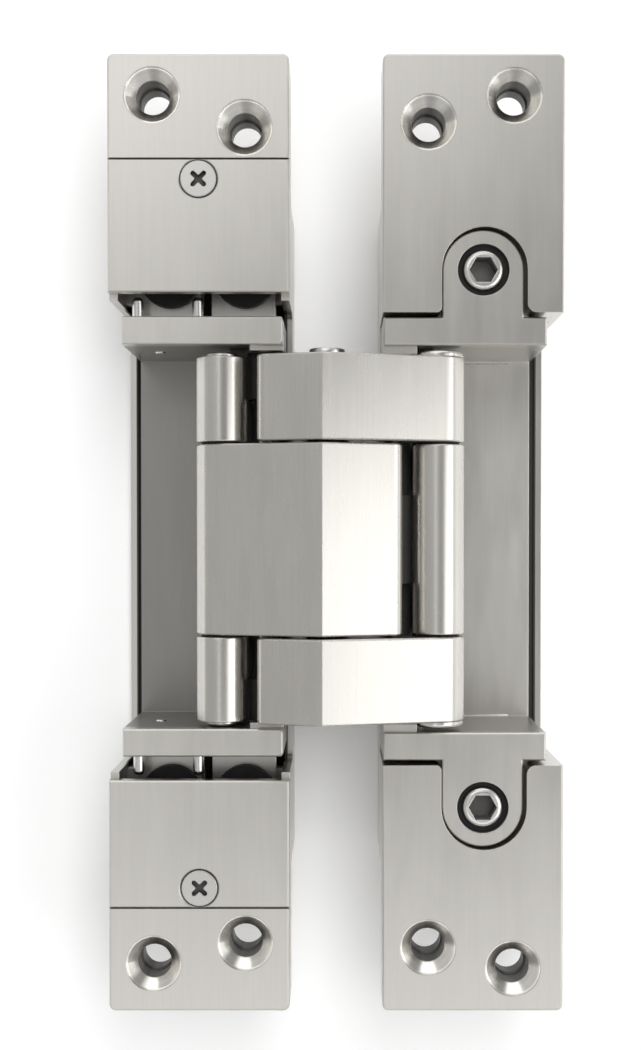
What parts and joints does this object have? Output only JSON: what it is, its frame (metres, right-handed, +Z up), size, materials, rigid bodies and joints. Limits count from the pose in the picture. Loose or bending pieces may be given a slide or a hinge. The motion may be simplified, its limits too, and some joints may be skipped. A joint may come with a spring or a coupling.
{
  "type": "concealed door hinge",
  "caption": "Concealed hinge: tall bodies for frame and door, crossed arms that fold into pockets on pivot pins, lift gear under covers and depth screws.",
  "frame": {"origin": "middle of the hinge in plan, at the level of the lower ends of both bodies", "axes": "+Z up along the pivot pins, +X from the left body to the right body, +Y away from the viewer into the timber; opened flat"},
  "size_m": [0.0904, 0.0414, 0.19],
  "materials": {
    "housing_steel": "satin, vertical brushing",
    "arm_steel": "satin, vertical brushing",
    "carrier_steel": "satin",
    "cover_steel": "satin, vertical brushing",
    "screw_steel": "turned",
    "pin_steel": "ground",
    "plate_steel": "rolled",
    "dark_steel": "blackened",
    "washer_plastic": "matte"
  },
  "bodies": {
    "left_body": {"left_housing": "housing_steel", "left_top_cover": "cover_steel", "left_bottom_cover": "cover_steel", "left_top_cover_screw": "screw_steel", "left_bottom_cover_screw": "screw_steel"},
    "left_slide": {"left_carrier": "carrier_steel", "left_top_guide_pins": "pin_steel", "left_bottom_guide_pins": "pin_steel", "left_top_lift_plates": "plate_steel", "left_bottom_lift_plates": "plate_steel", "left_deep_pin": "pin_steel", "left_link_pin": "pin_steel"},
    "outer_arms": {"outer_arm_top": "arm_steel", "outer_arm_bottom": "arm_steel", "centre_pin": "pin_steel", "centre_washers": "washer_plastic", "right_knuckle_pin": "pin_steel", "right_knuckle_washers": "washer_plastic"},
    "middle_arm": {"centre_arm": "arm_steel"},
    "left_links": {"left_link_top": "arm_steel", "left_link_bottom": "arm_steel", "left_knuckle_pin": "pin_steel", "left_knuckle_washers": "washer_plastic"},
    "right_slide": {"right_carrier": "carrier_steel", "right_deep_pin": "pin_steel", "right_link_pin": "pin_steel", "right_top_snap_ring": "dark_steel", "right_bottom_snap_ring": "dark_steel"},
    "right_links": {"right_link": "arm_steel"},
    "right_body": {"right_housing": "housing_steel"},
    "right_top_screw": {"right_top_adjusting_screw": "screw_steel"},
    "right_bottom_screw": {"right_bottom_adjusting_screw": "screw_steel"},
    "left_top_outer_disc": {"left_top_outer_eccentric": "dark_steel"},
    "left_top_inner_disc": {"left_top_inner_eccentric": "dark_steel"},
    "left_bottom_outer_disc": {"left_bottom_outer_eccentric": "dark_steel"},
    "left_bottom_inner_disc": {"left_bottom_inner_eccentric": "dark_steel"}
  },
  "joints": [
    {"name": "fold", "type": "hinge", "parent": "left_slide", "child": "outer_arms", "pos_m": [-0.01517, -0.00479, 0.0941], "axis": [0, 0, 1], "range_deg": [-102.56, 0]},
    {"name": "centre_pivot", "type": "hinge", "parent": "outer_arms", "child": "middle_arm", "pos_m": [-0.0018, -0.00885, 0.0941], "axis": [0, 0, 1], "range_deg": [0, 23.64]},
    {"name": "right_deep_pivot", "type": "hinge", "parent": "middle_arm", "child": "right_slide", "pos_m": [0.0137, -0.00338, 0.0941], "axis": [0, 0, 1], "range_deg": [-101.09, 0]},
    {"name": "left_link_pivot", "type": "hinge", "parent": "left_slide", "child": "left_links", "pos_m": [-0.01517, 0.00046, 0.0941], "axis": [0, 0, 1], "range_deg": [-63.75, 0]},
    {"name": "right_link_pivot", "type": "hinge", "parent": "right_slide", "child": "right_links", "pos_m": [0.01621, 0.00123, 0.0941], "axis": [0, 0, 1], "range_deg": [0, 77.29]},
    {"name": "height_slide", "type": "slide", "parent": "left_body", "child": "left_slide", "axis": [0, 0, 1], "range_m": [-0.002, 0.002]},
    {"name": "depth_slide", "type": "slide", "parent": "right_slide", "child": "right_body", "axis": [0, 1, 0], "range_m": [-0.001, 0.001]},
    {"name": "right_top_screw_turn", "type": "hinge", "parent": "right_slide", "child": "right_top_screw", "pos_m": [0.02935, -0.0143, 0.1477], "axis": [0, 1, 0], "range_deg": [-361, 361]},
    {"name": "right_bottom_screw_turn", "type": "hinge", "parent": "right_slide", "child": "right_bottom_screw", "pos_m": [0.02935, -0.0143, 0.0405], "axis": [0, 1, 0], "range_deg": [-361, 361]},
    {"name": "left_top_outer_disc_turn", "type": "hinge", "parent": "left_slide", "child": "left_top_outer_disc", "pos_m": [-0.03385, -0.007, 0.1478], "axis": [0, 1, 0], "range_deg": [-53.2, 53.2]},
    {"name": "left_top_inner_disc_turn", "type": "hinge", "parent": "left_slide", "child": "left_top_inner_disc", "pos_m": [-0.0186, -0.007, 0.1478], "axis": [0, 1, 0], "range_deg": [-53.2, 53.2]},
    {"name": "left_bottom_outer_disc_turn", "type": "hinge", "parent": "left_slide", "child": "left_bottom_outer_disc", "pos_m": [-0.03385, -0.007, 0.0414], "axis": [0, 1, 0], "range_deg": [-53.2, 53.2]},
    {"name": "left_bottom_inner_disc_turn", "type": "hinge", "parent": "left_slide", "child": "left_bottom_inner_disc", "pos_m": [-0.0186, -0.007, 0.0414], "axis": [0, 1, 0], "range_deg": [-53.2, 53.2]}
  ],
  "couplings": [
    {"joint": "centre_pivot", "follows": "fold", "ratio": -0.23047},
    {"joint": "right_deep_pivot", "follows": "fold", "ratio": 0.98557},
    {"joint": "left_link_pivot", "follows": "fold", "ratio": 0.62148},
    {"joint": "right_link_pivot", "follows": "fold", "ratio": -0.7535},
    {"joint": "right_top_screw_turn", "follows": "depth_slide", "rad_per_m": 6283.2},
    {"joint": "right_bottom_screw_turn", "follows": "depth_slide", "rad_per_m": 6283.2},
    {"joint": "left_top_outer_disc_turn", "follows": "height_slide", "rad_per_m": 463.65},
    {"joint": "left_top_inner_disc_turn", "follows": "height_slide", "rad_per_m": 463.65},
    {"joint": "left_bottom_outer_disc_turn", "follows": "height_slide", "rad_per_m": 463.65},
    {"joint": "left_bottom_inner_disc_turn", "follows": "height_slide", "rad_per_m": 463.65}
  ]
}
